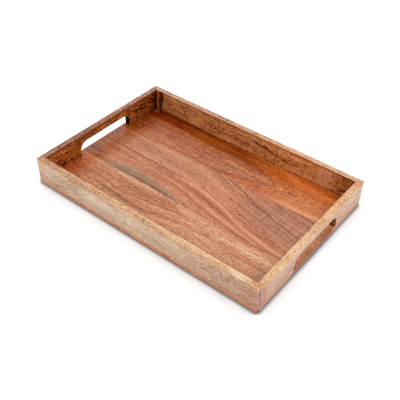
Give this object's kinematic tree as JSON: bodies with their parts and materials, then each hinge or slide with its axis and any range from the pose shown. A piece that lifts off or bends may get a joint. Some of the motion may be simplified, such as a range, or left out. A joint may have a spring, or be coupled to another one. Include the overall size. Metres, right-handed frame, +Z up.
{
  "type": "serving tray",
  "caption": "Rectangular wooden serving tray with a low mitred rim, a flat glued-board base and a hand slot in each end.",
  "frame": {"origin": "centre of the underside", "axes": "+X along the tray, towards the right-hand end rail; +Y from the front rail to the back rail; +Z up out of the tray"},
  "size_m": [0.4572, 0.3048, 0.0508],
  "materials": {
    "front_rail_wood": "satin lacquer over reddish brown acacia",
    "back_rail_wood": "satin lacquer over reddish brown acacia",
    "left_end_rail_wood": "satin lacquer over dark reddish brown acacia",
    "right_end_rail_wood": "satin lacquer over pale reddish brown acacia",
    "front_board_wood": "satin lacquer over reddish brown acacia with a tan stripe",
    "middle_board_wood": "satin lacquer over reddish brown acacia with a dark stripe",
    "back_board_wood": "satin lacquer over orange brown acacia with a flame figure",
    "nail_steel": "dull drawn wire",
    "pin_steel": "dull dark wire"
  },
  "bodies": {
    "root": {"front_rail": "front_rail_wood", "back_rail": "back_rail_wood", "left_end_rail": "left_end_rail_wood", "right_end_rail": "right_end_rail_wood", "front_base_board": "front_board_wood", "middle_base_board": "middle_board_wood", "back_base_board": "back_board_wood", "base_nails": "nail_steel", "corner_pins": "pin_steel"}
  },
  "joints": []
}
